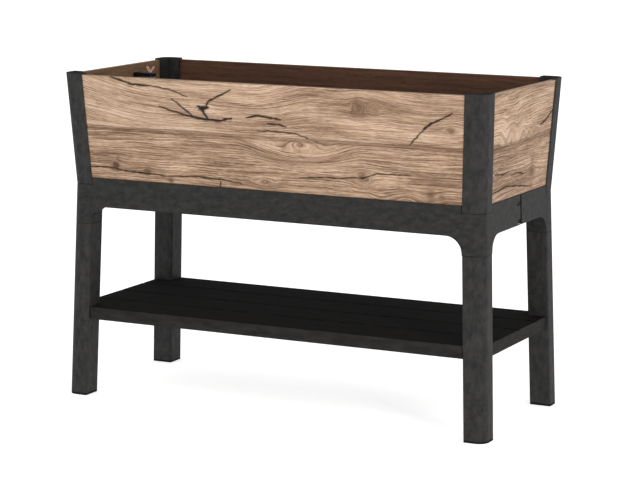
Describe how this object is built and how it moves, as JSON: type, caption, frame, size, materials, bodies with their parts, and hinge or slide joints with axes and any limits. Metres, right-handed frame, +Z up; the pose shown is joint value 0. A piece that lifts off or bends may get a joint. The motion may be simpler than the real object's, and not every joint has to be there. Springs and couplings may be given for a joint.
{
  "type": "raised planter on legs",
  "caption": "Rectangular raised planter box with wood-look walls and dark corner posts, on splayed legs with a lower shelf, water basin, float gauge and drain plug.",
  "frame": {"origin": "floor level, under the middle of the box", "axes": "+X along the length, +Y from the front to the back, +Z up"},
  "size_m": [1.118, 0.4944, 0.8],
  "materials": {
    "frame_resin": "moulded charcoal resin, faintly mottled",
    "plank": "weathered light oak look, with knots and cracks",
    "foot_rubber": "black",
    "basin_resin": "black moulded resin",
    "platform_resin": "dark grey moulded resin",
    "shelf_resin": "dark charcoal moulded resin",
    "plug_rubber": "black",
    "gauge_grey": "grey",
    "gauge_black": "black",
    "float_white": "off-white foam",
    "flag_pink": "pale pink",
    "screw_steel": "zinc-plated"
  },
  "bodies": {
    "planter": {"leg_front_left": "frame_resin", "foot_cap_front_left": "foot_rubber", "corner_post_front_left": "frame_resin", "leg_front_right": "frame_resin", "foot_cap_front_right": "foot_rubber", "corner_post_front_right": "frame_resin", "leg_rear_left": "frame_resin", "foot_cap_rear_left": "foot_rubber", "corner_post_rear_left": "frame_resin", "leg_rear_right": "frame_resin", "foot_cap_rear_right": "foot_rubber", "corner_post_rear_right": "frame_resin", "frame_front_half": "frame_resin", "frame_rear_half": "frame_resin", "cross_beam_left": "frame_resin", "cross_beam_middle": "frame_resin", "cross_beam_right": "frame_resin", "wall_front": "plank", "wall_rear": "plank", "wall_left": "plank", "wall_right": "plank", "water_basin": "basin_resin", "soil_platform_left": "platform_resin", "soil_platform_right": "platform_resin", "shelf": "shelf_resin", "gauge_tube": "gauge_grey", "gauge_bracket": "gauge_black", "post_screws": "screw_steel", "splice_screws": "screw_steel", "beam_screws": "screw_steel", "shelf_screws": "screw_steel"},
    "plug": {"drain_plug": "plug_rubber"},
    "float": {"gauge_float": "float_white", "gauge_flag": "flag_pink"}
  },
  "joints": [
    {"name": "drain_plug_pull", "type": "slide", "parent": "planter", "child": "plug", "axis": [0, 0, -1], "range_m": [0, 0.03]},
    {"name": "float_rise", "type": "slide", "parent": "planter", "child": "float", "axis": [0, 0, 1], "range_m": [0, 0.025]}
  ]
}
